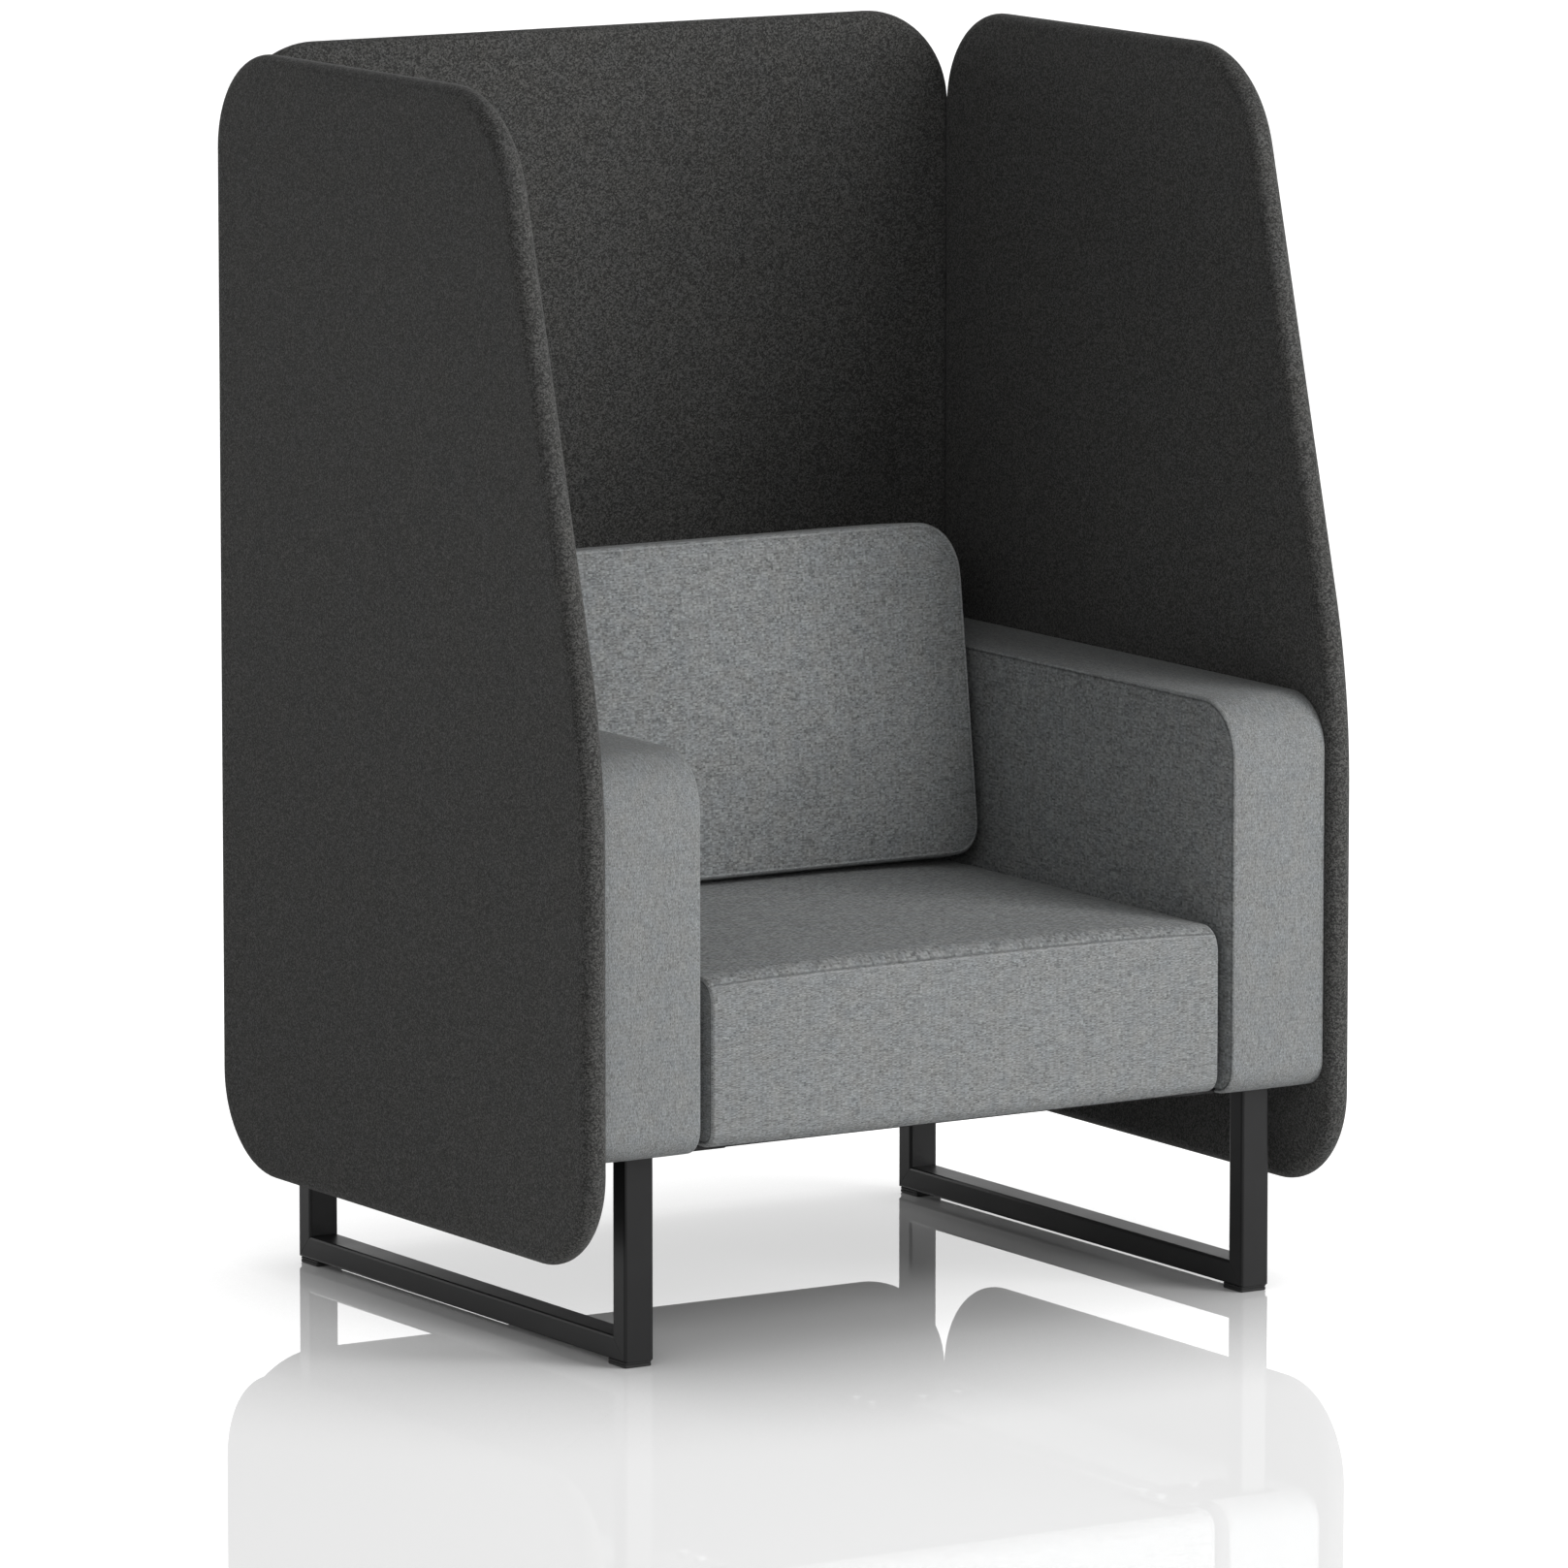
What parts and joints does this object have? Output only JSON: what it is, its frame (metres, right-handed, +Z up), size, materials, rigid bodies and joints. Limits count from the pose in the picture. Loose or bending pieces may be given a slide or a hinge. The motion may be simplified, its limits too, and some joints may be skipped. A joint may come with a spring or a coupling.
{
  "type": "acoustic high back lounge chair",
  "caption": "High-back lounge chair: padded seat, arms and reclined back inside tall rounded upholstered screens, on black steel sled frames.",
  "frame": {"origin": "on the floor under the middle of the chair's outer box", "axes": "+Z up, -Y is the front that the sitter faces, +X is the side on the right of someone who looks at the chair from the front"},
  "size_m": [1.01, 0.8418, 1.4],
  "materials": {
    "screen_cloth": "dark charcoal felted wool cloth, matt",
    "pad_cloth": "mid grey flat woven cloth, matt",
    "black_steel": "fine black powder coat, satin",
    "glide_nylon": "black moulded nylon, matt",
    "bolt_steel": "zinc plated steel, satin",
    "pin_steel": "plain steel, satin",
    "base_board": "plywood under black lining felt, matt"
  },
  "bodies": {
    "root": {"left_side_screen": "screen_cloth", "right_side_screen": "screen_cloth", "back_screen": "screen_cloth", "left_front_leg": "black_steel", "right_front_leg": "black_steel", "left_rear_leg": "black_steel", "right_rear_leg": "black_steel", "left_floor_rail": "black_steel", "right_floor_rail": "black_steel", "left_front_plate": "black_steel", "right_front_plate": "black_steel", "left_rear_plate": "black_steel", "right_rear_plate": "black_steel", "left_front_glide": "glide_nylon", "right_front_glide": "glide_nylon", "left_rear_glide": "glide_nylon", "right_rear_glide": "glide_nylon", "left_front_seat_inner_bolt": "bolt_steel", "right_front_seat_inner_bolt": "bolt_steel", "left_rear_seat_inner_bolt": "bolt_steel", "right_rear_seat_inner_bolt": "bolt_steel", "left_front_seat_front_bolt": "bolt_steel", "right_front_seat_front_bolt": "bolt_steel", "left_rear_seat_front_bolt": "bolt_steel", "right_rear_seat_front_bolt": "bolt_steel", "left_front_arm_inner_bolt": "bolt_steel", "right_front_arm_inner_bolt": "bolt_steel", "left_rear_arm_inner_bolt": "bolt_steel", "right_rear_arm_inner_bolt": "bolt_steel", "left_front_arm_outer_bolt": "bolt_steel", "right_front_arm_outer_bolt": "bolt_steel", "left_rear_arm_outer_bolt": "bolt_steel", "right_rear_arm_outer_bolt": "bolt_steel", "seat_board": "base_board", "seat_cushion": "pad_cloth", "left_arm_board": "base_board", "right_arm_board": "base_board", "left_arm_pad": "pad_cloth", "right_arm_pad": "pad_cloth", "left_back_bar": "black_steel", "right_back_bar": "black_steel", "back_board": "base_board", "back_pad": "pad_cloth", "left_lower_corner_pin": "pin_steel", "right_lower_corner_pin": "pin_steel", "left_upper_corner_pin": "pin_steel", "right_upper_corner_pin": "pin_steel", "left_front_arm_pin": "pin_steel", "right_front_arm_pin": "pin_steel", "left_rear_arm_pin": "pin_steel", "right_rear_arm_pin": "pin_steel", "left_arm_end_pin": "pin_steel", "right_arm_end_pin": "pin_steel"}
  },
  "joints": []
}
